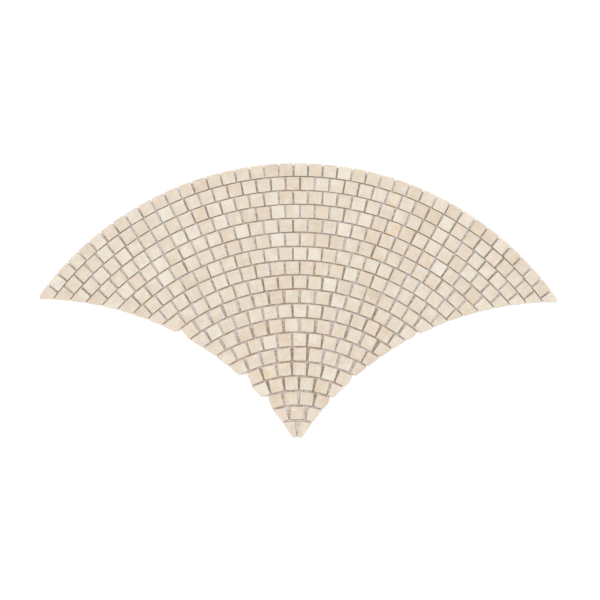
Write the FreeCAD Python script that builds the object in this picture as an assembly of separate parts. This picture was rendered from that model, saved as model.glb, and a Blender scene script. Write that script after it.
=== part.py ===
# Fish scale mosaic tile: square marble stones laid in arched courses on a glass-fibre net.
# The sheet is a fan. Its crown is one arc, and its two flanks are hollow arcs that take the
# crowns of the neighbouring fans. It lies face up: +X runs from tip to tip, +Y from the foot
# to the crown, +Z out of the stones' faces. The origin is under the middle of the fan's box,
# on the back of the net. All sizes are in millimetres and all angles in radians, measured
# from the fan's axis (+Y), positive towards +X.
import FreeCAD
import Part

import math
import os
from collections import namedtuple

# Outline of the sheet
SHEET_WIDTH = 600.0       # from tip to tip
TIP_BLUNTING = 3.0        # how far each tip's sharp point would reach past its blunt end
FLANK_RADIUS = 355.0      # hollower than the crown, which then seats at the hollow's two ends
FOOT_RADIUS = 50.0        # from the courses' centre to the foot's end
FOOT_WIDTH = 10.0         # blunt end of the foot

# Stones
STONE_SIDE = 15.0         # square face of a whole stone
FOOT_STONE_LENGTH = 18.3  # along the axis, longer than a whole stone
STONE_THICKNESS = 9.5
ARRIS = 0.4               # eased edge round each face

# Joints
STONE_JOINT = 1.6         # between stones of a course, at its tight inner end
CROWN_JOINT = 1.05        # between the first two courses
FOOT_JOINT = 2.25         # between the last two, to which the joints widen evenly

# Backing net, as one thin sheet of its outer shape
NET_THICKNESS = 0.5
NET_SETBACK = 2.0         # the net stops this far inside the stones' outer edge

# Shortest end stone that the setter cuts, as a share of the pitch from stone to stone
SHORTEST_END = 0.42

# Bond: where the joint nearest the axis stands, in pitches. It changes from course to course,
# so that the joints break, apart from a few courses near the foot that stack.
LEFT = -0.37
RIGHT = 0.1
ON_STONE = -0.5           # a stone stands on the axis
ON_JOINT = 0.0            # a joint stands on the axis

# How each course is laid, from the crown to the foot. extra_joint opens every joint of a
# loosely laid course, and closes them in a tight one. A course with whole_ends ends in whole
# stones with only a corner nipped off.
Laying = namedtuple("Laying", "bond extra_joint whole_ends", defaults=(0.0, False))
COURSES = (
    Laying(LEFT),
    Laying(RIGHT),
    Laying(LEFT),
    Laying(RIGHT),
    Laying(LEFT),
    Laying(RIGHT, extra_joint=0.2),
    Laying(LEFT, extra_joint=-0.3),
    Laying(RIGHT),
    Laying(LEFT),
    Laying(RIGHT, extra_joint=0.8, whole_ends=True),
    Laying(LEFT),
    Laying(RIGHT, extra_joint=1.2),
    Laying(LEFT),
    Laying(LEFT, extra_joint=0.6),
    Laying(LEFT, whole_ends=True),
    Laying(RIGHT),
    Laying(RIGHT, whole_ends=True),
    Laying(ON_STONE, extra_joint=1.2),
    Laying(ON_JOINT),
)

# Worked out from the sizes above
WHOLE_COURSES = len(COURSES) - 1   # all but the foot stones
LAID_DEPTH = WHOLE_COURSES * (STONE_SIDE + (CROWN_JOINT + FOOT_JOINT) / 2)
SHEET_HEIGHT = LAID_DEPTH + FOOT_STONE_LENGTH
CROWN_RADIUS = FOOT_RADIUS + SHEET_HEIGHT
CENTRE = FreeCAD.Vector(0, SHEET_HEIGHT / 2 - CROWN_RADIUS, 0)   # of the crown and all courses
SHORTEST_EDGE = 3 * ARRIS                      # a shorter cut edge is left off


def on_course(radius, angle):
    """Point at a radius and an angle from the axis, about the crown's centre."""
    return CENTRE + FreeCAD.Vector(radius * math.sin(angle), radius * math.cos(angle), 0)


def flank_centre():
    """Centre of the right flank's arc: it passes through the right tip and the foot's corner."""
    tip = on_course(CROWN_RADIUS, math.asin((SHEET_WIDTH / 2 + TIP_BLUNTING) / CROWN_RADIUS))
    corner = on_course(FOOT_RADIUS, math.asin(FOOT_WIDTH / 2 / FOOT_RADIUS))
    chord = tip - corner
    to_centre = math.sqrt(FLANK_RADIUS ** 2 - (chord.Length / 2) ** 2)
    outwards = FreeCAD.Vector(chord.y, -chord.x, 0).normalize()
    return (tip + corner) * 0.5 + outwards * to_centre


RIGHT_FLANK = flank_centre()


def flank_angle(radius):
    """Angle from the axis at which the right flank crosses a radius about the crown's centre."""
    apart = RIGHT_FLANK - CENTRE
    towards = math.atan2(apart.x, apart.y)
    cosine = (radius ** 2 + apart.Length ** 2 - FLANK_RADIUS ** 2) / (2 * radius * apart.Length)
    return towards - math.acos(cosine)


def course_radii():
    """Outer and inner radius of each course, from the crown to the foot."""
    radii = []
    outer = CROWN_RADIUS
    for number in range(WHOLE_COURSES):
        radii.append((outer, outer - STONE_SIDE))
        widening = number / (WHOLE_COURSES - 1)
        outer -= STONE_SIDE + CROWN_JOINT + widening * (FOOT_JOINT - CROWN_JOINT)
    return radii + [(outer, FOOT_RADIUS)]


def rectangle(angle, inner, outer, left, right):
    """Corners of a face square to the radius at an angle, reaching from left to right of it."""
    across = FreeCAD.Vector(math.cos(angle), -math.sin(angle), 0)
    low = on_course(inner, angle)
    high = on_course(outer, angle)
    return [low + across * left, low + across * right, high + across * right, high + across * left]


def cut(corners, start, end):
    """What is left of a face on the left of the line from start to end, a straight cut."""
    along = end - start
    depths = [along.x * (c.y - start.y) - along.y * (c.x - start.x) for c in corners]
    kept = []
    for i, corner in enumerate(corners):
        following = (i + 1) % len(corners)
        if depths[i] >= 0:
            kept.append(corner)
        if (depths[i] >= 0) != (depths[following] >= 0):
            share = depths[i] / (depths[i] - depths[following])
            kept.append(corner + (corners[following] - corner) * share)
    return [c for i, c in enumerate(kept) if (c - kept[i - 1]).Length > SHORTEST_EDGE]


def end_stone(inner, outer, joint, last_joint, whole):
    """Face of the stone between a course's last joint and the right flank, cut to the flank."""
    middle = (inner + outer) / 2
    length = STONE_SIDE if whole else middle * (flank_angle(middle) - last_joint) - joint
    beyond = 0 if whole else outer - inner
    angle = last_joint + math.atan((length + joint) / (2 * inner))
    face = rectangle(angle, inner, outer, -length / 2, length / 2 + beyond)
    face = cut(face, on_course(inner, flank_angle(inner)), on_course(outer, flank_angle(outer)))
    return cut(face, FreeCAD.Vector(SHEET_WIDTH / 2, 0, 0), FreeCAD.Vector(SHEET_WIDTH / 2, 1, 0))


def half_course(inner, outer, bond, joint, whole_ends):
    """Faces of the stones from the joint nearest the axis to the right flank."""
    pitch = 2 * math.atan((STONE_SIDE + joint) / (2 * inner))
    first_joint = bond * pitch
    room = (flank_angle((inner + outer) / 2) - first_joint) / pitch
    whole_stones = max(0, math.floor(room - SHORTEST_END))
    faces = []
    for i in range(whole_stones):
        angle = first_joint + (i + 0.5) * pitch
        faces.append(rectangle(angle, inner, outer, -STONE_SIDE / 2, STONE_SIDE / 2))
    last_joint = first_joint + whole_stones * pitch
    faces.append(end_stone(inner, outer, joint, last_joint, whole_ends))
    return faces


def mirrored(face):
    """The same face on the other side of the axis, its corners still anticlockwise."""
    return [FreeCAD.Vector(-c.x, c.y, c.z) for c in reversed(face)]


def course_faces(inner, outer, how):
    """Faces of all stones of a course, from the left flank to the right one."""
    joint = STONE_JOINT + how.extra_joint
    right = half_course(inner, outer, how.bond, joint, how.whole_ends)
    left = half_course(inner, outer, -how.bond, joint, how.whole_ends)
    return [mirrored(face) for face in reversed(left)] + right


def prism(outline, bottom, height):
    """A closed outline stood up as a solid."""
    face = Part.Face(Part.Wire(outline))
    face.translate(FreeCAD.Vector(0, 0, bottom))
    return face.extrude(FreeCAD.Vector(0, 0, height))


def stone(face):
    """One stone: a prism with an eased edge round its upper face."""
    closed = face + face[:1]
    sides = [Part.makeLine(a, b) for a, b in zip(closed, closed[1:])]
    block = prism(sides, NET_THICKNESS, STONE_THICKNESS)
    top = NET_THICKNESS + STONE_THICKNESS
    upper = [e for e in block.Edges if all(abs(v.Z - top) < 1e-6 for v in e.Vertexes)]
    return block.makeChamfer(ARRIS, upper)


def arc(centre, radius, start, end):
    """Edge from start to end along the short way of a circle."""
    middle = (start + end) * 0.5 - centre
    bulge = centre + middle.normalize() * radius
    return Part.Arc(start, bulge, end).toShape()


def backing_net():
    """The net's outer shape: the fan's outline, set back from the stones' outer edge."""
    blunt_tips = Part.makeBox(SHEET_WIDTH - 2 * NET_SETBACK, SHEET_HEIGHT, NET_THICKNESS)
    blunt_tips.translate(FreeCAD.Vector(NET_SETBACK - SHEET_WIDTH / 2, -SHEET_HEIGHT / 2, 0))
    crown = CROWN_RADIUS - NET_SETBACK
    flank = FLANK_RADIUS + NET_SETBACK
    apart = RIGHT_FLANK - CENTRE
    cosine = (crown ** 2 + apart.Length ** 2 - flank ** 2) / (2 * crown * apart.Length)
    right_tip = on_course(crown, math.atan2(apart.x, apart.y) - math.acos(cosine))
    foot_height = CENTRE.y + FOOT_RADIUS + NET_SETBACK
    reach = math.sqrt(flank ** 2 - (foot_height - RIGHT_FLANK.y) ** 2)
    right_foot = FreeCAD.Vector(RIGHT_FLANK.x - reach, foot_height, 0)
    left_tip = FreeCAD.Vector(-right_tip.x, right_tip.y, 0)
    left_foot = FreeCAD.Vector(-right_foot.x, right_foot.y, 0)
    left_flank = FreeCAD.Vector(-RIGHT_FLANK.x, RIGHT_FLANK.y, 0)
    outline = [
        Part.makeLine(left_foot, right_foot),
        arc(RIGHT_FLANK, flank, right_foot, right_tip),
        arc(CENTRE, crown, right_tip, left_tip),
        arc(left_flank, flank, left_tip, left_foot),
    ]
    return prism(outline, 0, NET_THICKNESS).common(blunt_tips)


def main():
    """Writes one file for each course of stones and one for the net."""
    os.makedirs("parts", exist_ok=True)
    total = 0
    for number, ((outer, inner), how) in enumerate(zip(course_radii(), COURSES), start=1):
        faces = course_faces(inner, outer, how)
        stones = Part.makeCompound([stone(face) for face in faces])
        stones.exportStep(f"parts/course_{number:02d}.step")
        total += len(faces)
        print(f"course {number}: {len(faces)} stones, radius {inner:.1f} to {outer:.1f}")
    backing_net().exportStep("parts/backing_net.step")
    print(f"{total} stones, {SHEET_WIDTH:.1f} by {SHEET_HEIGHT:.1f} mm")


main()
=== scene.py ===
"""Dresses the fish scale mosaic sheet: honed marble stones, glued to a glass-fibre net.

All sizes are in metres. +X runs from tip to tip, +Y from the foot to the crown, and +Z out of
the stones' faces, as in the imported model.
"""

import logging
import math
from collections.abc import Iterable
from dataclasses import dataclass, field
from enum import Enum
from random import Random

import bmesh
import bpy
from bmesh.types import BMEdge, BMesh, BMVert
from bpy.types import Material, Node, NodeSocket, NodeTree, Object, bpy_prop_collection
from mathutils import Matrix, Vector
from mathutils.bvhtree import BVHTree


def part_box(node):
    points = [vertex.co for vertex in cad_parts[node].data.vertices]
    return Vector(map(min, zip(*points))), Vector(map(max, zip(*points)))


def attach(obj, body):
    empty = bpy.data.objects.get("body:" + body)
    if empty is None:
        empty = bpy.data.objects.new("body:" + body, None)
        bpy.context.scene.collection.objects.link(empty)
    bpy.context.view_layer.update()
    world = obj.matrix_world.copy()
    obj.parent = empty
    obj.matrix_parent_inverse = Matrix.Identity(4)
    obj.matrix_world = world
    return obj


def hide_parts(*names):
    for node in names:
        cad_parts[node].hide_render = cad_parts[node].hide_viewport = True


Colour = tuple[float, float, float, float]
Input = NodeSocket | float | tuple[float, ...]
Joints = tuple[float, float, float, float]   # to the left, to the right, outside and inside

MM = 0.001
HAIR = 1e-6                               # points nearer than this are one
COURSES_CENTRE = Vector((0, -209 * MM))   # of all the courses' arcs
log = logging.getLogger("fish_scale_tile")

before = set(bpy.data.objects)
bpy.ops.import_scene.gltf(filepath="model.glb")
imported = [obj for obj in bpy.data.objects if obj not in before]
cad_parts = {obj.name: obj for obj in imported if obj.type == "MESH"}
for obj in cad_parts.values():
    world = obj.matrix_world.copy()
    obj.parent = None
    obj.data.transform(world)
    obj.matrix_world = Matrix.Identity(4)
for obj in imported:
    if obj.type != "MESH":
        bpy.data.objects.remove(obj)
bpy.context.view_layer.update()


# Meshes


def merged_copy(node: str) -> BMesh:
    """A node's mesh with its loose triangles joined into whole faces.

    Args:
        node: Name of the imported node.

    Returns:
        A new bmesh. The node's own mesh is left alone.
    """
    mesh = bmesh.new()
    mesh.from_mesh(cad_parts[node].data)
    bmesh.ops.remove_doubles(mesh, verts=mesh.verts[:], dist=HAIR)
    bmesh.ops.dissolve_limit(mesh, angle_limit=0.01, verts=mesh.verts[:], edges=mesh.edges[:])
    return mesh


def add_to(whole: BMesh, part: BMesh) -> None:
    """Adds a finished part to the mesh of the piece that it belongs to.

    Args:
        whole: The piece's mesh.
        part: The part, freed here.
    """
    carrier = bpy.data.meshes.new("carrier")
    part.to_mesh(carrier)
    part.free()
    whole.from_mesh(carrier)
    bpy.data.meshes.remove(carrier)


def middle_of(points: list[Vector]) -> Vector:
    """The mean of some points."""
    return sum(points, Vector()) / len(points)


def upright_at(place: Vector) -> Matrix:
    """A turn about Z that brings the outward direction at a place on the sheet round to +Y."""
    outwards = place.xy - COURSES_CENTRE
    return Matrix.Rotation(math.atan2(outwards.x, outwards.y), 4, "Z")


def round_off(mesh: BMesh, elements: list[BMVert] | list[BMEdge], width: float) -> None:
    """Rounds a flat mesh's vertices, or a solid one's edges, from this far to each side."""
    corners = isinstance(elements[0], BMVert)
    bmesh.ops.bevel(
        mesh, geom=elements, offset=width, offset_type="OFFSET", segments=2, profile=0.5,
        affect="VERTICES" if corners else "EDGES", clamp_overlap=True, material=-1,
    )


def draw_out(mesh: BMesh, by: Vector) -> None:
    """Draws a flat mesh out into a solid, this far and this way."""
    drawn = bmesh.ops.extrude_face_region(mesh, geom=mesh.faces[:], use_keep_orig=True)["geom"]
    bmesh.ops.translate(mesh, vec=by, verts=[v for v in drawn if isinstance(v, BMVert)])


def cut_off(mesh: BMesh, place: Vector, outwards: Vector, hair: float = 0) -> None:
    """Cuts away what lies beyond a plane, and closes the cut.

    Args:
        mesh: The mesh.
        place: A point on the plane.
        outwards: The plane's normal.
        hair: How near the plane a vertex counts as on it.
    """
    cut = bmesh.ops.bisect_plane(
        mesh, geom=mesh.verts[:] + mesh.edges[:] + mesh.faces[:], dist=hair,
        plane_co=place, plane_no=outwards, clear_outer=True,
    )["geom_cut"]
    rim = [element for element in cut if isinstance(element, BMEdge)]
    bmesh.ops.contextual_create(mesh, geom=rim)


def in_scene(thing: Object) -> Object:
    """Puts an object into the scene."""
    bpy.context.scene.collection.objects.link(thing)
    return thing


def finished_piece(
    name: str, shape: BMesh, materials: Iterable[Material], node: str
) -> Object:
    """Turns a mesh into a piece that stands for a node and rides with the sheet.

    Args:
        name: Name of the piece.
        shape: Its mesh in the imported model's frame, freed here.
        materials: Its materials, in the order of its faces' material indices.
        node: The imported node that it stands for.

    Returns:
        The new object.
    """
    mesh = bpy.data.meshes.new(name)
    bmesh.ops.recalc_face_normals(shape, faces=shape.faces[:])
    shape.to_mesh(mesh)
    shape.free()
    mesh.polygons.foreach_set("use_smooth", [True] * len(mesh.polygons))
    for material in materials:
        mesh.materials.append(material)
    piece = in_scene(bpy.data.objects.new(name, mesh))
    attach(piece, "root")
    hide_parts(node)
    mesh.calc_loop_triangles()
    log.info("%s: %d faces, %d triangles", name, len(mesh.polygons), len(mesh.loop_triangles))
    return piece


# Node trees


class Wiring:
    """A node tree that is wired up one node at a time."""

    def __init__(self, tree: NodeTree) -> None:
        """Takes over a node tree and clears it."""
        self.tree = tree
        tree.nodes.clear()

    def add(
        self, kind: str, inputs: dict[str | int, Input] | None = None, **settings: object
    ) -> Node:
        """Adds a node.

        Args:
            kind: The node's type, without its leading "ShaderNode".
            inputs: For each socket, its value, or the socket that feeds it.
            **settings: The node's other properties.

        Returns:
            The new node.
        """
        node = self.tree.nodes.new(kind if kind.startswith("Node") else "ShaderNode" + kind)
        for name, value in settings.items():
            setattr(node, name, value)
        for name, value in (inputs or {}).items():
            if isinstance(value, NodeSocket):
                self.tree.links.new(value, node.inputs[name])
            else:
                node.inputs[name].default_value = value
        return node

    def attribute(self, name: str, output: str = "Fac") -> NodeSocket:
        """A value that the mesh carries."""
        return self.add("Attribute", attribute_name=name).outputs[output]

    def place(self) -> NodeSocket:
        """The point's place on the sheet."""
        return self.add("TexCoord").outputs["Object"]

    def stretched(self, vector: Input, scale: tuple[float, ...]) -> NodeSocket:
        """A place scaled along its axes, which draws a pattern out along the least scaled."""
        return self.add("Mapping", {"Vector": vector, "Scale": scale}).outputs["Vector"]

    def math(self, operation: str, *values: Input) -> NodeSocket:
        """One sum, product or other calculation."""
        return self.add("Math", dict(enumerate(values)), operation=operation).outputs[0]

    def swung(self, mask: Input, width: float) -> NodeSocket:
        """A mask made to swing evenly about 0, this wide in all."""
        return self.math("MULTIPLY", self.math("SUBTRACT", mask, 0.5), width)

    def raised(self, base: Input, by: float, mask: Input) -> NodeSocket:
        """A value that a mask raises by up to this much."""
        return self.math("MULTIPLY_ADD", mask, by, base)

    def between(self, value: Input, low: Input, high: Input) -> NodeSocket:
        """A mask that rises smoothly from 0 to 1 as the value goes from low to high."""
        inputs = {"Value": value, "From Min": low, "From Max": high}
        return self.add("MapRange", inputs, interpolation_type="SMOOTHSTEP").outputs["Result"]

    def noise(self, vector: Input, scale: Input, **finer: float) -> NodeSocket:
        """A noise texture's value, with this many features to a metre."""
        inputs = {name.capitalize(): value for name, value in finer.items()}
        return self.add("TexNoise", {"Vector": vector, "Scale": scale, **inputs}).outputs["Fac"]

    def patches(
        self, vector: Input, scale: Input, low: float, high: float, **finer: float
    ) -> NodeSocket:
        """A mask of the patches where a noise texture's value is high."""
        return self.between(self.noise(vector, scale, **finer), low, high)

    def blend(self, mask: Input, under: Input, over: Input) -> NodeSocket:
        """A colour that goes from one to another as the mask goes from 0 to 1."""
        inputs = {0: mask, 6: under, 7: over}   # by number, because several share a name
        return self.add("Mix", inputs, data_type="RGBA").outputs[2]

    def tinted(self, under: Input, over: Colour, mask: Input, strength: float) -> NodeSocket:
        """A colour that another covers by a mask, at this strength."""
        return self.blend(self.math("MULTIPLY", mask, strength), under, over)

    def bump(self, height: Input, depth: float) -> NodeSocket:
        """The normals of a relief, this deep where its height goes from 0 to 1."""
        inputs = {"Height": height, "Distance": depth, "Strength": 1.0}
        return self.add("Bump", inputs).outputs["Normal"]

    def group(self, group: NodeTree, **inputs: Input) -> Node:
        """Places a shared effect, with its own values."""
        named = {name.capitalize(): value for name, value in inputs.items()}
        return self.add("Group", named, node_tree=group)

    def mask(self, group: NodeTree, **inputs: Input) -> NodeSocket:
        """Places a shared effect and takes its mask."""
        return self.group(group, **inputs).outputs["Mask"]

    def finish(self, inputs: dict[str, Input]) -> None:
        """Ends a material's tree with its shader."""
        shader = self.add("BsdfPrincipled", inputs)
        self.add("OutputMaterial", {"Surface": shader.outputs[0]})


def start_effect(
    name: str, settings: list[str], results: list[str]
) -> tuple[NodeTree, Wiring, bpy_prop_collection]:
    """Starts an effect that several materials share.

    Args:
        name: The effect's name.
        settings: Names of the values that it is given, besides the place, its "Vector".
        results: Names of the values that it puts out.

    Returns:
        The group, its wiring, and the sockets of what it is given.
    """
    group = bpy.data.node_groups.new(name, "ShaderNodeTree")
    sockets = group.interface
    sockets.new_socket(name="Vector", in_out="INPUT", socket_type="NodeSocketVector")
    for way, values in (("INPUT", settings), ("OUTPUT", results)):
        for value in values:
            sockets.new_socket(name=value, in_out=way, socket_type="NodeSocketFloat")
    wiring = Wiring(group)
    return group, wiring, wiring.add("NodeGroupInput").outputs


class Effects:
    """The effects that more than one finish uses, each built once."""

    def __init__(self) -> None:
        """Builds them all."""
        self.clouds = self.build_clouds()
        self.veins = self.build_veins()
        self.grain = self.build_grain()
        self.wear_and_highlight = self.build_wear_and_highlight()
        self.dust = self.build_dust()

    def build_clouds(self) -> NodeTree:
        """Soft patches without an edge.

        Returns:
            A group that puts out a mask, from 0 in the pale patches to 1 in the deep ones.
        """
        group, wiring, given = start_effect("clouds", ["Scale"], ["Mask"])
        finer = {"detail": 4.0, "roughness": 0.55, "distortion": 0.7}
        patches = wiring.patches(given["Vector"], given["Scale"], low=0.32, high=0.68, **finer)
        wiring.add("NodeGroupOutput", {"Mask": patches})
        return group

    def build_veins(self) -> NodeTree:
        """Thin wandering lines that come and go.

        Returns:
            A group that puts out a mask of the lines.
        """
        group, wiring, given = start_effect("veins", ["Scale", "Width"], ["Mask"])
        lines = wiring.noise(given["Vector"], given["Scale"], detail=5.0, distortion=1.4)
        off_line = wiring.math("ABSOLUTE", wiring.math("SUBTRACT", lines, 0.5))
        line = wiring.math("SUBTRACT", 1.0, wiring.between(off_line, 0.0, given["Width"]))
        coming = wiring.patches(given["Vector"], scale=31.0, low=0.5, high=0.62)
        wiring.add("NodeGroupOutput", {"Mask": wiring.math("MULTIPLY", line, coming)})
        return group

    def build_grain(self) -> NodeTree:
        """Fine crystals, with a few open pores.

        Returns:
            A group that puts out a value about 0.5 for the colour, and a height.
        """
        group, wiring, given = start_effect("grain", ["Size"], ["Value", "Height"])
        scale = wiring.math("DIVIDE", 1.0, given["Size"])
        crystals = wiring.noise(given["Vector"], scale, roughness=0.6)
        pores_apart = {"Vector": given["Vector"], "Scale": wiring.math("MULTIPLY", scale, 0.3)}
        pore = wiring.add("TexVoronoi", pores_apart).outputs["Distance"]
        height = wiring.raised(wiring.between(pore, low=0.0, high=0.16), 0.5, crystals)
        wiring.add("NodeGroupOutput", {"Value": crystals, "Height": height})
        return group

    def build_wear_and_highlight(self) -> NodeTree:
        """Rubbed edges, which are also painted lighter as a highlight, broken up so that they
        aren't one even band.

        Returns:
            A group that puts out a mask of the rubbed places, where a highlight is also painted.
        """
        group, wiring, given = start_effect("edge wear and highlight", ["Edge"], ["Mask"])
        near = wiring.math("POWER", given["Edge"], 2.5)
        broken = wiring.patches(given["Vector"], scale=420.0, low=0.3, high=0.65, detail=3.0)
        kept = wiring.add("MapRange", {"Value": broken, "To Min": 0.35}).outputs["Result"]
        wiring.add("NodeGroupOutput", {"Mask": wiring.math("MULTIPLY", near, kept)})
        return group

    def build_dust(self) -> NodeTree:
        """Stone dust that lies low down in the joints.

        Returns:
            A group that puts out a mask of the dust.
        """
        group, wiring, given = start_effect("joint dust", ["Depth"], ["Mask"])
        height = wiring.add("SeparateXYZ", {"Vector": given["Vector"]}).outputs["Z"]
        low = wiring.math("SUBTRACT", 1.0, wiring.between(height, 0.0, given["Depth"]))
        patchy = wiring.patches(given["Vector"], scale=260.0, low=0.35, high=0.7, detail=3.0)
        wiring.add("NodeGroupOutput", {"Mask": wiring.math("MULTIPLY", low, patchy)})
        return group


# Finishes


def start_material(name: str) -> tuple[Material, Wiring]:
    """Starts a material.

    Args:
        name: Its name.

    Returns:
        The material and its wiring, with nothing in its tree.
    """
    material = bpy.data.materials.new(name)
    material.use_nodes = True
    return material, Wiring(material.node_tree)


class Cut(Enum):
    """How a face of a stone was worked: its roughness, its bump in metres and its stain."""

    HONED = (0.50, 0.01 * MM, 0.0)
    SAWN = (0.66, 0.05 * MM, 0.15)

    def __init__(self, roughness: float, relief: float, stain: float) -> None:
        """Names the values."""
        self.roughness, self.relief, self.stain = roughness, relief, stain


@dataclass(frozen=True)
class Marble:
    """Cream marble with faint clouds, a few golden patches and thin veins."""

    pale: Colour = (0.692, 0.629, 0.537, 1)
    deep: Colour = (0.606, 0.492, 0.369, 1)
    golden: Colour = (0.70, 0.51, 0.29, 1)
    vein: Colour = (0.50, 0.36, 0.22, 1)
    crystal: Colour = (0.50, 0.44, 0.37, 1)
    bed: Colour = (0.46, 0.38, 0.29, 1)
    # painted highlight: the lighter colour of the stones' rubbed edges
    edge_highlight: Colour = (0.78, 0.73, 0.66, 1)
    slurry: Colour = (0.46, 0.30, 0.17, 1)    # of the saw, dried on the stones' sides
    clouded: float = 0.40             # how far each pattern swings a stone's tone
    streaked: float = 0.23
    grained: float = 0.8
    veined: float = 0.3               # how strongly each colour covers the ground
    speckled: float = 0.34
    bedded: float = 0.32
    # how strongly the painted edge highlight covers the ground
    edge_highlighted: float = 0.6
    dusted: float = 0.3
    rough_clouds: float = 0.06        # how much rougher the clouds and the worn edges are
    rough_wear: float = 0.16
    saw_depth: float = 1.6            # of the saw's lines, against the grain's
    saw_lines: tuple[float, float, float] = (40.0, 40.0, 1900.0)   # drawn out along the sides

    def dress(self, cut: Cut, effects: Effects) -> Material:
        """Makes the material for the faces worked in one way.

        Args:
            cut: How the faces were worked.
            effects: The shared effects.

        Returns:
            The new material.
        """
        material, wiring = start_material("marble_" + cut.name.lower())
        block = wiring.attribute("block", "Vector")
        clouds = wiring.mask(effects.clouds, vector=block, scale=95.0)
        along_bed = wiring.stretched(block, (1.0, 14.0, 3.0))
        streaks = wiring.mask(effects.clouds, vector=along_bed, scale=42.0)
        crystals = wiring.patches(block, scale=520.0, low=0.40, high=0.72)
        thin_beds = wiring.stretched(block, (30.0, 900.0, 300.0))
        beds = wiring.patches(thin_beds, scale=1.0, low=0.42, high=0.68, detail=1.0)
        coming = wiring.patches(block, scale=6.0, low=0.46, high=0.62)
        beds = wiring.math("MULTIPLY", beds, coming)
        veins = wiring.mask(effects.veins, vector=block, scale=42.0, width=0.012)
        grain = wiring.group(effects.grain, vector=block, size=0.9 * MM).outputs
        # the rubbed edges: rougher, and painted lighter as a highlight
        wear_and_highlight = wiring.mask(effects.wear_and_highlight, edge=wiring.attribute("worn_and_highlit"), vector=block)
        dust = wiring.mask(effects.dust, vector=wiring.place(), depth=5 * MM)

        depth = wiring.math("ADD", wiring.attribute("tone"), wiring.swung(clouds, self.clouded))
        depth = wiring.math("ADD", depth, wiring.swung(streaks, self.streaked))
        depth = wiring.math("ADD", depth, wiring.swung(grain["Value"], self.grained))
        colour = wiring.blend(depth, self.pale, self.deep)
        patches = wiring.between(clouds, low=0.45, high=1.0)
        golden = wiring.math("MULTIPLY", wiring.attribute("gold"), patches)
        colour = wiring.blend(golden, colour, self.golden)
        colour = wiring.tinted(colour, self.vein, veins, self.veined)
        colour = wiring.tinted(colour, self.crystal, crystals, self.speckled)
        colour = wiring.tinted(colour, self.bed, beds, self.bedded)
        # painted highlight along the stones' edges
        colour = wiring.tinted(colour, self.edge_highlight, wear_and_highlight, self.edge_highlighted)
        colour = wiring.blend(wiring.raised(cut.stain, self.dusted, dust), colour, self.slurry)

        rough = wiring.raised(cut.roughness, self.rough_clouds, clouds)
        rough = wiring.raised(rough, self.rough_wear, wear_and_highlight)
        height = grain["Height"]
        if cut is Cut.SAWN:
            saw_lines = wiring.stretched(wiring.place(), self.saw_lines)
            saw_marks = wiring.noise(saw_lines, scale=1.0, detail=3.0)
            height = wiring.raised(height, self.saw_depth, saw_marks)
        wiring.finish({
            "Base Color": colour,
            "Roughness": rough,
            "Normal": wiring.bump(height, cut.relief),
            "IOR": 1.49,
            "Subsurface Weight": 0.7,
            "Subsurface Radius": (1.0, 0.62, 0.38),
            "Subsurface Scale": 3.5 * MM,
        })
        return material


class Run(Enum):
    """The way a yarn runs, and how its fibres' streaks are drawn out along it."""

    WEFT = (90.0, 2600.0, 2600.0)
    WARP = (2600.0, 90.0, 2600.0)


@dataclass(frozen=True)
class GlassYarn:
    """Coated white glass-fibre yarn."""

    coat: Colour = (0.80, 0.80, 0.79, 1)
    fibre: Colour = (0.62, 0.64, 0.64, 1)
    dust: Colour = (0.74, 0.69, 0.62, 1)
    dusted: float = 0.5               # how strongly the dust covers the coat
    roughness: float = 0.4            # of the smoothest patches
    dullness: float = 0.2             # how much rougher the others are

    def dress(self, run: Run, effects: Effects) -> Material:
        """Makes the material for the yarns that run one way.

        Args:
            run: The way the yarns run.
            effects: The shared effects.

        Returns:
            The new material.
        """
        material, wiring = start_material("glass_yarn_" + run.name.lower())
        place = wiring.place()
        fibres = wiring.noise(wiring.stretched(place, run.value), scale=1.0)
        patches = wiring.mask(effects.clouds, vector=place, scale=120.0)
        dust = wiring.mask(effects.dust, vector=place, depth=0.8 * MM)
        bare = wiring.between(fibres, low=0.52, high=0.75)
        colour = wiring.blend(bare, self.coat, self.fibre)
        wiring.finish({
            "Base Color": wiring.tinted(colour, self.dust, dust, self.dusted),
            "Roughness": wiring.raised(self.roughness, self.dullness, patches),
            "Normal": wiring.bump(fibres, 0.04 * MM),
            "IOR": 1.5,
        })
        return material


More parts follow.
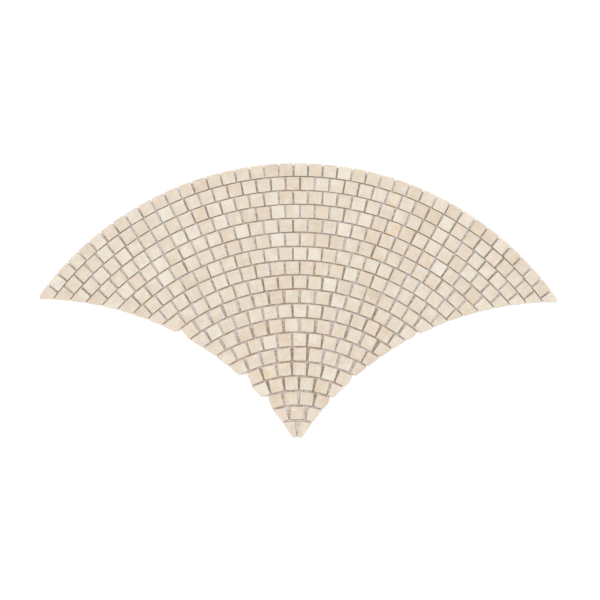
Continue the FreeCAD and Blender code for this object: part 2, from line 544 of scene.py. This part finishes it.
@dataclass(frozen=True)
class Adhesive:
    """Dull milky glue, its upper side stained by the saw's slurry."""

    milk: Colour = (0.74, 0.72, 0.70, 1)
    thin: Colour = (0.62, 0.59, 0.56, 1)
    film: Colour = (0.825, 0.766, 0.755, 1)      # upper side, where little slurry has dried
    slurry: Colour = (0.465, 0.36, 0.272, 1)     # upper side, where much has
    settled: Colour = (0.345, 0.272, 0.198, 1)   # upper side, where it lies deepest
    brown: Colour = (0.585, 0.383, 0.237, 1)     # upper side, in the course joints
    least_stain: float = 0.25
    stain_swing: float = 1.0          # how far the stain swings from patch to patch
    settling: tuple[float, float] = (1.05, 1.7)                # stains where it settles
    upper_side: tuple[float, float] = (0.4 * MM, 0.55 * MM)    # heights where the stain starts
    roughness: float = 0.6            # where the glue is milky
    dullness: float = 0.2             # how much rougher it is where it is thin

    def dress(self, effects: Effects) -> Material:
        """Makes the material.

        Args:
            effects: The shared effects.

        Returns:
            The new material.
        """
        material, wiring = start_material("glue")
        place = wiring.place()
        thin = wiring.mask(effects.clouds, vector=place, scale=330.0)
        bubbles = wiring.group(effects.grain, vector=place, size=0.4 * MM).outputs["Height"]
        height = wiring.add("SeparateXYZ", {"Vector": place}).outputs["Z"]
        uneven = wiring.swung(thin, self.stain_swing)
        stain = wiring.math("ADD", wiring.attribute("stain"), uneven)
        stain = wiring.math("MAXIMUM", stain, self.least_stain)
        settled = wiring.between(stain, *self.settling)
        slurry = wiring.blend(settled, self.slurry, self.settled)
        slurry = wiring.blend(wiring.attribute("course_joint"), slurry, self.brown)
        above = wiring.blend(stain, self.film, slurry)
        below = wiring.blend(thin, self.milk, self.thin)
        wiring.finish({
            "Base Color": wiring.blend(wiring.between(height, *self.upper_side), below, above),
            "Roughness": wiring.raised(self.roughness, self.dullness, thin),
            "Normal": wiring.bump(bubbles, 0.03 * MM),
            "IOR": 1.47,
        })
        return material


# Stones


class Tone(Enum):
    """A stone's colour: how deep it is, from 0 to 1, how golden, and its share of the stones."""

    PALE = (0.10, 0.0, 0.0)
    CREAM = (0.42, 0.0, 0.44)
    BEIGE = (0.59, 0.03, 0.48)
    FAWN = (0.80, 0.06, 0.08)
    GOLDEN = (0.45, 0.70, 0.0)

    def __init__(self, depth: float, gold: float, share: float) -> None:
        """Names the values."""
        self.depth, self.gold, self.share = depth, gold, share


# Stones that stand out from the rest: their places from the left, by course
CHOSEN_TONES = {
    Tone.PALE: {
        1: (2, 9, 24, 36), 2: (5, 10, 21, 22, 25, 27, 30), 3: (3, 5, 28, 31),
        4: (5, 8, 9, 11, 15), 5: (5, 11, 18, 25, 29), 6: (4, 12), 9: (12,), 10: (16,),
        11: (2, 15), 13: (4,), 15: (6,), 16: (1,),
    },
    Tone.FAWN: {
        1: (34, 35, 40), 4: (14,), 7: (1,), 9: (9,), 10: (7,), 12: (4,), 13: (11,), 14: (9,),
        16: (5,), 17: (1, 4),
    },
    Tone.GOLDEN: {
        2: (26,), 4: (23,), 5: (24,), 13: (3,), 15: (2,), 16: (4,),
    },
}

# Radial joints where the glue is bare, or deeply stained: the stones on their left, by course
BARE_JOINTS = {
    3: (7,), 5: (24,), 6: (4, 20), 8: (21,), 10: (2, 4), 12: (1, 8), 13: (1,),
    14: (1, 2, 6, 7, 8), 17: (1, 2), 18: (1, 2), 19: (1,),
}
STAINED_JOINTS = {
    2: (22, 23, 32), 7: (8, 18), 8: (14,), 9: (7, 8, 9), 11: (7, 12), 13: (6, 7), 14: (4, 5),
    15: (1, 3, 4, 5, 6), 16: (1, 2, 3), 17: (3,),
}


def tone_of(course: int, number: int, chance: Random) -> Tone:
    """The tone of one stone.

    Args:
        course: The stone's course, counted from the crown.
        number: Its place in the course, counted from the left.
        chance: Where the draw comes from.

    Returns:
        The tone chosen for it, or else one drawn by the tones' shares.
    """
    drawn = chance.choices(list(Tone), [tone.share for tone in Tone])[0]
    for tone, places in CHOSEN_TONES.items():
        if number in places.get(course, ()):
            return tone
    return drawn


@dataclass
class StoneCourse:
    """One course of stones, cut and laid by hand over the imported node's stones."""

    number: int
    corner: tuple[float, float] = (0.22 * MM, 0.48 * MM)   # rounding of the upright corners
    arris: tuple[float, float] = (0.25 * MM, 0.35 * MM)    # rounding of the face's edge
    worn_and_highlit_band: float = 0.14       # band along the edge that is rubbed and painted lighter as a highlight, as a share of the stone
    worn_and_highlit_height: float = 2 * MM   # how far down the sides the rubbing and the painted highlight go
    undersize: float = 0.012      # how much smaller than its node a stone may be
    least_undersize: float = 0.3  # share of that by which every stone is smaller
    low_by: tuple[float, float] = (0.05 * MM, 0.22 * MM)   # how far a face lies below the box
    shift: float = 0.12 * MM      # how far off its mark a stone may lie
    turn: float = math.radians(0.55)
    tilt: float = math.radians(0.35)
    chipped: float = 0.14         # share of the stones with a chipped corner
    chip: tuple[float, float] = (0.25 * MM, 0.65 * MM)     # how far the break lies inside it
    chip_slope: tuple[float, float] = (0.5, 1.6)           # rise of the break's normal
    chip_turn: float = 0.5        # how far the break may turn from the diagonal
    tone_swing: float = 0.11
    gold_swing: float = 0.06
    block_half: float = 0.6       # half the side of the block that the stones come from
    seed_step: int = 1000         # seeds kept for each course

    @property
    def node(self) -> str:
        """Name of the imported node."""
        return f"course_{self.number:02d}"

    def outlines(self) -> list[list[Vector]]:
        """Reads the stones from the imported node.

        Returns:
            The corners of each stone's bed, from left to right.
        """
        course = merged_copy(self.node)
        beds = [face for face in course.faces if face.normal.z < -0.9]
        beds.sort(key=lambda bed: bed.calc_center_median().x)
        outlines = [[corner.co.copy() for corner in reversed(bed.verts)] for bed in beds]
        course.free()
        return outlines

    def cut_stone(self, outline: list[Vector], height: float, chance: Random) -> BMesh:
        """Cuts one stone: upright sides, rounded corners, and an eased edge round its face.

        Args:
            outline: The corners of its bed.
            height: Its height.
            chance: Where its small differences come from.

        Returns:
            A bmesh of the stone in its place.
        """
        stone = bmesh.new()
        stone.faces.new([stone.verts.new(corner) for corner in outline])
        round_off(stone, stone.verts[:], chance.uniform(*self.corner))
        draw_out(stone, Vector((0, 0, height)))
        top = outline[0].z + height - HAIR
        rim = [edge for edge in stone.edges if all(end.co.z > top for end in edge.verts)]
        round_off(stone, rim, chance.uniform(*self.arris))
        return stone

    def band_face(self, stone: BMesh) -> None:
        """Sets off the band along the edge of a stone's face that is rubbed and painted lighter
        as a highlight.

        Args:
            stone: The stone, whole and not yet laid.
        """
        face = max(stone.faces, key=lambda each: each.calc_center_median().z)
        bmesh.ops.inset_individual(stone, faces=[face], thickness=0)
        size = 1 - self.worn_and_highlit_band
        about = Matrix.Translation(-face.calc_center_median())
        bmesh.ops.scale(stone, vec=(size, size, 1), space=about, verts=face.verts[:])

    def chip_corner(self, stone: BMesh, chance: Random) -> None:
        """Breaks off one upper corner of a stone, along a slanting plane.

        Args:
            stone: The stone, not yet laid.
            chance: Where the corner and the break come from.
        """
        centre = middle_of([v.co for v in stone.verts])
        top = max(v.co.z for v in stone.verts)
        corners = [v for v in stone.verts if v.co.z > top - HAIR]
        corner = max(corners, key=lambda v: (v.co - centre).length * chance.uniform(0.9, 1))
        outwards = (corner.co - centre).normalized()
        outwards.z = chance.uniform(*self.chip_slope)
        turn = chance.uniform(-self.chip_turn, self.chip_turn)
        outwards.rotate(Matrix.Rotation(turn, 3, "Z"))
        inside = outwards.normalized() * chance.uniform(*self.chip)
        cut_off(stone, corner.co - inside, outwards, hair=HAIR)

    def mark(self, stone: BMesh, tone: Tone, chance: Random) -> None:
        """Gives a stone its tone, its place in the block it was cut from, and its worn edge with
        a painted highlight.

        Args:
            stone: The stone, not yet laid.
            tone: Its tone.
            chance: Where its small differences come from.
        """
        depth = tone.depth + chance.uniform(-self.tone_swing, self.tone_swing)
        gold = max(0.0, tone.gold + chance.uniform(-self.gold_swing, self.gold_swing))
        top = max(v.co.z for v in stone.verts)
        centre = middle_of([v.co for v in stone.verts])
        reach = self.block_half
        cut_from = Vector([chance.uniform(-reach, reach) for _ in range(3)])
        quarter_turns = Matrix.Rotation(chance.randrange(4) * math.pi / 2, 4, "Z")
        turned = quarter_turns @ upright_at(centre)
        layers = stone.verts.layers
        tones, golds, worn_and_highlit = [layers.float.new(name) for name in ("tone", "gold", "worn_and_highlit")]
        block = layers.float_vector.new("block")
        face = max(stone.faces, key=lambda each: each.calc_center_median().z + each.calc_area())
        inside_band = set(face.verts)
        for v in stone.verts:
            v[tones] = depth
            v[golds] = gold
            # the edge band, rubbed and painted lighter as a highlight
            v[worn_and_highlit] = float(v not in inside_band and v.co.z > top - self.worn_and_highlit_height)
            v[block] = turned @ (v.co - centre) + cut_from
        for face in stone.faces:
            sawn = abs(face.normal.z) < 0.1 or face.normal.z < -0.5   # a side, or the bed
            face.material_index = int(sawn)

    def lay(self, stone: BMesh, chance: Random) -> None:
        """Lays a stone a little off its mark, and no further out than its course reaches.

        Args:
            stone: The stone.
            chance: Where its small differences come from.
        """
        centre = middle_of([v.co for v in stone.verts])
        size = 1 - chance.uniform(self.least_undersize, 1) * self.undersize
        off = Vector((chance.uniform(-1, 1), chance.uniform(-1, 1), 0)) * self.shift
        placed = Matrix.Translation(centre + off)
        for axis, most in (("Z", self.turn), ("X", self.tilt), ("Y", self.tilt)):
            placed = placed @ Matrix.Rotation(chance.uniform(-1, 1) * most, 4, axis)
        placed = placed @ Matrix.Diagonal((size, size, 1, 1)) @ Matrix.Translation(-centre)
        bmesh.ops.transform(stone, matrix=placed, verts=stone.verts[:])
        low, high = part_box(self.node)
        low.z = 0   # a tilted bed sinks into the glue
        back = Vector()
        for axis, along in enumerate(zip(*(v.co for v in stone.verts))):
            back[axis] = max(low[axis] - min(along), 0) - max(max(along) - high[axis], 0)
        bmesh.ops.translate(stone, vec=back, verts=stone.verts[:])

    def build(self, materials: list[Material]) -> Object:
        """Cuts, marks and lays every stone of the course.

        Args:
            materials: The honed and the sawn marble.

        Returns:
            The course as one piece.
        """
        course = bmesh.new()
        low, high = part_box(self.node)
        for place, outline in enumerate(self.outlines(), start=1):
            chance = Random(self.seed_step * self.number + place)
            height = high.z - low.z - chance.uniform(*self.low_by)
            stone = self.cut_stone(outline, height, chance)
            self.band_face(stone)
            if chance.random() < self.chipped:
                self.chip_corner(stone, chance)
            bmesh.ops.recalc_face_normals(stone, faces=stone.faces[:])
            self.mark(stone, tone_of(self.number, place, chance), chance)
            self.lay(stone, chance)
            add_to(course, stone)
        piece = finished_piece(f"stones_{self.number:02d}", course, materials, self.node)
        weighted = piece.modifiers.new("even_shading", "WEIGHTED_NORMAL")
        weighted.weight = 60
        return piece


# Net and glue


@dataclass
class BackingNet:
    """The glass-fibre net: each flat weft yarn lies between a twisted pair of warp yarns."""

    pitch: float = 5.0 * MM
    middle: float = 0.25 * MM         # height of the net's middle plane
    weft_width: float = 1.1 * MM
    weft_thickness: float = 0.16 * MM
    weft_sides: int = 6
    warp_width: float = 0.5 * MM
    warp_thickness: float = 0.14 * MM
    warp_sides: int = 4
    swing: float = 0.28 * MM          # of a warp yarn to each side of its line
    crimp: float = 0.16 * MM          # of a warp yarn over and under the weft
    skew: float = math.radians(0.12)
    tuck: float = 3.2 * MM            # how far a yarn's ends stop short of the net's edge
    seed: int = 7
    node: str = "backing_net"
    outline: BMesh = field(init=False, repr=False)

    def __post_init__(self) -> None:
        """Reads the net's outline from its node."""
        self.outline = merged_copy(self.node)

    def span(self, across: int, place: float) -> tuple[float, float]:
        """Where a straight yarn meets the net's outline.

        Args:
            across: The axis that the yarn stands square to, 0 for X and 1 for Y.
            place: Its place on that axis.

        Returns:
            The yarn's two ends, on its own axis.
        """
        sliced = self.outline.copy()
        square = Vector()
        square[across] = 1
        cut = bmesh.ops.bisect_plane(
            sliced, geom=sliced.verts[:] + sliced.edges[:] + sliced.faces[:],
            plane_co=square * place, plane_no=square,
        )["geom_cut"]
        reach = [end.co[1 - across] for end in cut if isinstance(end, BMVert)]
        sliced.free()
        return (min(reach), max(reach)) if reach else (0.0, 0.0)

    def long_yarn(self, width: float, thickness: float, sides: int) -> BMesh:
        """A straight yarn along X, longer than the net, with a ring at every half pitch.

        Args:
            width: Its width.
            thickness: Its thickness.
            sides: Number of its sides.

        Returns:
            A bmesh of the yarn about the X axis.
        """
        pitches = 2 * math.ceil((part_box(self.node)[1].x + self.pitch) / self.pitch)
        length = pitches * self.pitch
        yarn = bmesh.new()
        bmesh.ops.create_circle(yarn, cap_ends=True, radius=0.5, segments=sides)
        bmesh.ops.rotate(yarn, matrix=Matrix.Rotation(math.pi / 2, 3, "Y"), verts=yarn.verts[:])
        bmesh.ops.scale(yarn, vec=(1, width, thickness), verts=yarn.verts[:])
        bmesh.ops.translate(yarn, vec=(-length / 2, 0, 0), verts=yarn.verts[:])
        draw_out(yarn, Vector((length, 0, 0)))
        runs = [edge for edge in yarn.edges if edge.calc_length() > length / 2]
        bmesh.ops.subdivide_edges(yarn, edges=runs, cuts=2 * pitches - 1)
        bmesh.ops.recalc_face_normals(yarn, faces=yarn.faces[:])
        return yarn

    def twisted(self, over: bool) -> BMesh:
        """One yarn of a warp pair, along X: it swings from side to side of the pair's line.

        Args:
            over: Whether it passes over the weft yarns, and not under them.

        Returns:
            A bmesh of the yarn about the X axis.
        """
        yarn = self.long_yarn(self.warp_width, self.warp_thickness, self.warp_sides)
        side = 1 if over else -1
        for v in yarn.verts:
            steps = v.co.x / self.pitch
            v.co.y += side * self.swing * math.cos(math.pi * steps)
            v.co.z += side * self.crimp * math.cos(2 * math.pi * steps)
        return yarn

    def trim(self, yarn: BMesh, axis: int, ends: tuple[float, float]) -> None:
        """Cuts a yarn off square at both ends, and closes the cuts.

        Args:
            yarn: The yarn.
            axis: The axis that it runs along.
            ends: Its two ends on that axis.
        """
        for end, sign in zip(ends, (-1, 1)):
            place, square = Vector(), Vector()
            place[axis], square[axis] = end, sign
            cut_off(yarn, place, square)

    def places(self, across: int) -> list[float]:
        """The places of all yarns that stand square to an axis.

        Args:
            across: The axis, 0 for X and 1 for Y.

        Returns:
            The places on that axis, a pitch apart.
        """
        low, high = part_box(self.node)
        first = math.ceil(low[across] / self.pitch)
        last = math.floor(high[across] / self.pitch)
        return [number * self.pitch for number in range(first, last + 1)]

    def weave(self, name: str, across: int, yarns: list[BMesh], material: Material) -> Object:
        """Lays yarns side by side over the whole net.

        Args:
            name: Name of the piece.
            across: The axis that the yarns stand square to.
            yarns: The yarns that lie together at each place, along X, freed here.
            material: Their material.

        Returns:
            The yarns that run one way, as one piece.
        """
        woven = bmesh.new()
        chance = Random(self.seed + across)
        turned = Matrix.Rotation(math.pi / 2 if across == 0 else 0, 4, "Z")
        for number, place in enumerate(self.places(across)):
            start, end = self.span(across, place)
            ends = (start + self.tuck, end - self.tuck)
            if ends[1] - ends[0] < self.pitch:
                continue
            to_place = Vector((0, 0, self.middle))
            to_place[across] = place
            to_place[1 - across] = (number % 2) * self.pitch
            skewed = Matrix.Rotation(chance.uniform(-1, 1) * self.skew, 4, "Z")
            for yarn in yarns:
                strand = yarn.copy()
                moved = Matrix.Translation(to_place) @ skewed @ turned
                bmesh.ops.transform(strand, matrix=moved, verts=strand.verts[:])
                self.trim(strand, 1 - across, ends)
                add_to(woven, strand)
        for yarn in yarns:
            yarn.free()
        return finished_piece(name, woven, [material], self.node)

    def build(self, yarn: GlassYarn, effects: Effects) -> None:
        """Weaves the net.

        Args:
            yarn: Its finish.
            effects: The shared effects.
        """
        weft = [self.long_yarn(self.weft_width, self.weft_thickness, self.weft_sides)]
        self.weave("net_weft", 1, weft, yarn.dress(Run.WEFT, effects))
        warp = [self.twisted(over=True), self.twisted(over=False)]
        self.weave("net_warp", 0, warp, yarn.dress(Run.WARP, effects))


@dataclass
class GlueFilm:
    """The glue that holds the stones to the net: one pad under each stone, run into the next.

    A stain of 0 leaves the glue bare, 1 covers it, and past 1 the slurry has settled.
    """

    bottom: float = 0.25 * MM          # of the lowest pads, so the net shows on the back
    bottom_step: float = 0.012 * MM    # pads that overlap lie at different levels
    top: tuple[float, float] = (0.56 * MM, 0.57 * MM)
    top_step: float = 0.03 * MM
    sideways: float = 3.6 * MM         # how far a pad spreads beyond its stone along the course
    outwards: float = 1.3 * MM         # how far it spreads towards the next courses
    ragged: float = 0.45 * MM          # how far in from its outline its edge may lie
    ragged_out: float = 0.6            # how far out, as a share of that
    corner: float = 1.8 * MM
    overhang: float = 1.5 * MM         # how far it may run out beyond the net
    at_crown: float = 0.1 * MM         # the same under the first course
    at_flank: float = 0.2 * MM         # how far it shows beyond a course's end stone
    rim: float = 0.5                   # share of the pad inside its rim
    radial: tuple[float, float] = (0.2, 1.3)   # stains that the radial joints are drawn from
    bare: float = 0.5                  # stain of those in BARE_JOINTS
    stained: float = 1.32              # stain of those in STAINED_JOINTS
    shade_at_tight_end: float = 0.38         # how much more a radial joint is stained there, as painted shade
    crossing: float = 0.6              # where a joint starts to pale towards one that it meets
    paling: float = 0.9                # how much it has paled there
    between_courses: float = 1.05      # usual stain of the joints between the upper courses
    swing: float = 0.3                 # how far from it one stone's joint may be
    upper_courses: int = 8
    loss: float = 0.04                 # how much less it is with each course below them
    last_joint: float = 0.35           # stain of the pale joint before the foot stones
    seed: int = 5000
    node: str = "backing_net"

    def joint_stain(self, course: int, number: int, chance: Random) -> float:
        """How deeply a radial joint is stained halfway along.

        Args:
            course: Its course, counted from the crown.
            number: How many stones of the course lie to its left.
            chance: Where the draw comes from.

        Returns:
            The stain chosen for it, or else one drawn evenly.
        """
        drawn = chance.uniform(*self.radial)
        if number in BARE_JOINTS.get(course, ()):
            return self.bare
        if number in STAINED_JOINTS.get(course, ()):
            return self.stained
        return drawn

    def stain(self, place: Vector, joints: Joints) -> float:
        """How deeply the saw's slurry has stained the glue beside a stone, with painted shade
        added towards a radial joint's tight end.

        Args:
            place: Where, from the stone's middle: x along the course and y outwards, both as
                shares of the pad's reach.
            joints: The stains of the joints round it.

        Returns:
            The stain. It is deepest at a radial joint's tight end, where painted shade is added,
            and least where joints meet.
        """
        left, right, outer, inner = joints
        far, near = max(abs(place.x), abs(place.y)), min(abs(place.x), abs(place.y))
        meeting = max(0.0, near / far - self.crossing) / (1 - self.crossing)
        if abs(place.y) > abs(place.x):
            joint = outer if place.y > 0 else inner
        else:
            # painted shade: the stain deepens towards the radial joint's tight, inner end
            joint = (left if place.x < 0 else right) - self.shade_at_tight_end * place.y / far
        return joint - self.paling * meeting

    def pad(
        self, outline: list[Vector], flank: int, overhang: float, level: int, joints: Joints,
        net: BVHTree, chance: Random,
    ) -> BMesh:
        """One pad.

        Args:
            outline: The corners of the stone's bed.
            flank: The side of the stone that is on the sheet's flank, -1, 1 or 0 for neither.
            overhang: How far the pad may run out beyond the net.
            level: How many steps it lies above the lowest pads.
            joints: The stains of the joints round it.
            net: The net's outline.
            chance: Where its raggedness comes from.

        Returns:
            A bmesh of the pad in its place.
        """
        pad = bmesh.new()
        middle = middle_of(outline)
        to_stone = upright_at(middle) @ Matrix.Translation(-middle)
        pad.faces.new([pad.verts.new(to_stone @ corner) for corner in outline])
        low = [min(v.co[axis] for v in pad.verts) for axis in (0, 1)]
        high = [max(v.co[axis] for v in pad.verts) for axis in (0, 1)]
        reach = [max(-low[axis], high[axis]) for axis in (0, 1)]
        size = (1 + self.sideways / reach[0], 1 + self.outwards / reach[1], 1)
        bmesh.ops.scale(pad, vec=size, verts=pad.verts[:])
        inwards = -flank * (self.sideways - self.at_flank)
        bmesh.ops.translate(pad, vec=(inwards, 0, 0), verts=pad.verts[:])
        round_off(pad, pad.verts[:], self.corner)
        long_sides = [edge for edge in pad.edges if edge.calc_length() > 2 * self.corner]
        bmesh.ops.subdivide_edges(pad, edges=long_sides, cuts=3)
        bmesh.ops.inset_individual(pad, faces=pad.faces[:], thickness=0)
        layers = pad.verts.layers.float
        stain_and_shade, in_course_joint = layers.new("stain"), layers.new("course_joint")
        inner = {v for v in pad.verts if not v.is_boundary}
        bmesh.ops.scale(pad, vec=(self.rim, self.rim, 1), verts=list(inner))
        bottom = self.bottom + level * self.bottom_step
        for v in pad.verts:
            ends = [high[axis] if v.co[axis] > 0 else -low[axis] for axis in (0, 1)]
            share = Vector((v.co.x / ends[0], v.co.y / ends[1]))
            v[stain_and_shade] = self.stain(share, joints)
            v[in_course_joint] = float(abs(share.y) > abs(share.x))
            if flank and v in inner:   # it shows in the joint beside an end stone
                v[stain_and_shade], v[in_course_joint] = joints[0 if flank > 0 else 1], 0.0
            ragged = v.co.normalized() * chance.uniform(-1, self.ragged_out) * self.ragged
            spread = to_stone.inverted() @ (v.co if v in inner else v.co + ragged)
            nearest = net.find_nearest(spread)[0]
            beyond = (spread - nearest).xy.to_3d()
            beyond.length = min(beyond.length, overhang)
            v.co = Vector((nearest.x, nearest.y, bottom)) + beyond
        height = chance.uniform(*self.top) + level * self.top_step - bottom
        draw_out(pad, Vector((0, 0, height)))
        bmesh.ops.recalc_face_normals(pad, faces=pad.faces[:])
        return pad

    def build(self, courses: list[StoneCourse], net: BackingNet, material: Material) -> Object:
        """Spreads one pad under each stone.

        Args:
            courses: The courses of stones.
            net: The net that the glue soaks.
            material: The glue's material.

        Returns:
            All pads as one piece.
        """
        film = bmesh.new()
        tree = BVHTree.FromBMesh(net.outline)
        for course in courses:
            outlines = course.outlines()
            chance = Random(self.seed + course.number)
            radial = [
                self.joint_stain(course.number, place, chance)
                for place in range(len(outlines) + 1)
            ]
            usual = self.between_courses - self.loss * max(0, course.number - self.upper_courses)
            for place, outline in enumerate(outlines):
                flank = (place == len(outlines) - 1) - (place == 0)
                outer = usual + chance.uniform(-self.swing, self.swing)
                inner = usual + chance.uniform(-self.swing, self.swing)
                if course in (courses[0], courses[-1]):
                    outer = self.last_joint
                if course in courses[-2:]:
                    inner = self.last_joint
                joints = (radial[place], radial[place + 1], outer, inner)
                overhang = self.at_crown if course is courses[0] else self.overhang
                level = place % 2 + 2 * (course.number % 2)
                add_to(film, self.pad(outline, flank, overhang, level, joints, tree, chance))
        return finished_piece("glue_pads", film, [material], self.node)


# Studio


@dataclass(frozen=True)
class Studio:
    """A white floor under soft light from above, and a camera that looks straight down."""

    floor_size: float = 24.0
    floor_colour: Colour = (0.93, 0.93, 0.93, 1)
    floor_shade: Colour = (0.91605, 0.91605, 0.91605, 1)   # of its deepest clouds
    sky: float = 0.42
    light_place: tuple[float, float, float] = (-0.05, 0.15, 4.6)
    light_size: float = 0.7
    light_power: float = 177.0        # watts
    lens: float = 200.0               # millimetres, as the sensor's width is
    sensor: float = 36.0
    frame_width: float = 696.3 * MM   # what the picture spans at the stones' faces
    aim: tuple[float, float] = (2.2 * MM, 0.2 * MM)
    turn: float = math.radians(0.35)
    faces_height: float = 10 * MM

    def build_floor(self, effects: Effects) -> None:
        """Lays the floor.

        Args:
            effects: The shared effects.
        """
        sheet = bmesh.new()
        bmesh.ops.create_grid(sheet, x_segments=1, y_segments=1, size=self.floor_size / 2)
        mesh = bpy.data.meshes.new("floor")
        sheet.to_mesh(mesh)
        sheet.free()
        material, wiring = start_material("floor")
        clouds = wiring.mask(effects.clouds, vector=wiring.place(), scale=3.0)
        colour = wiring.blend(clouds, self.floor_colour, self.floor_shade)
        wiring.finish({"Base Color": colour, "Roughness": 0.9})
        mesh.materials.append(material)
        floor = in_scene(bpy.data.objects.new("floor", mesh))

    def build_light(self) -> None:
        """Hangs a square soft light that points at the sheet."""
        data = bpy.data.lights.new("overhead", "AREA")
        data.size = self.light_size
        data.energy = self.light_power
        light = in_scene(bpy.data.objects.new("overhead", data))
        light.location = self.light_place
        light.rotation_euler = Vector(self.light_place).to_track_quat("Z", "Y").to_euler()

    def build_sky(self) -> None:
        """Fills the room with even white light."""
        world = bpy.data.worlds.new("studio")
        world.use_nodes = True
        background = world.node_tree.nodes["Background"]
        background.inputs["Color"].default_value = (1, 1, 1, 1)
        background.inputs["Strength"].default_value = self.sky
        bpy.context.scene.world = world

    def build_camera(self) -> None:
        """Stands the camera over the sheet, square to it."""
        data = bpy.data.cameras.new("camera")
        data.lens = self.lens
        data.sensor_width = self.sensor
        distance = self.lens / self.sensor * self.frame_width
        data.clip_end = 3 * distance
        camera = in_scene(bpy.data.objects.new("camera", data))
        camera.location = (*self.aim, self.faces_height + distance)
        camera.rotation_euler = (0, 0, self.turn)
        bpy.context.scene.camera = camera

    def build(self, effects: Effects) -> None:
        """Sets up the whole studio.

        Args:
            effects: The shared effects.
        """
        self.build_floor(effects)
        self.build_sky()
        self.build_light()
        self.build_camera()
        bpy.context.scene.view_settings.view_transform = "Standard"


def main() -> None:
    """Builds the stones, the net, the glue and the studio."""
    logging.basicConfig(level=logging.INFO, format="%(message)s")
    effects = Effects()
    marble = Marble()
    faces_and_sides = [marble.dress(cut, effects) for cut in Cut]
    count = sum(name.startswith("course_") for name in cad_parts)
    courses = [StoneCourse(number) for number in range(1, count + 1)]
    for course in courses:
        course.build(faces_and_sides)
    net = BackingNet()
    net.build(GlassYarn(), effects)
    GlueFilm().build(courses, net, Adhesive().dress(effects))
    Studio().build(effects)


if __name__ == "__main__":
    main()
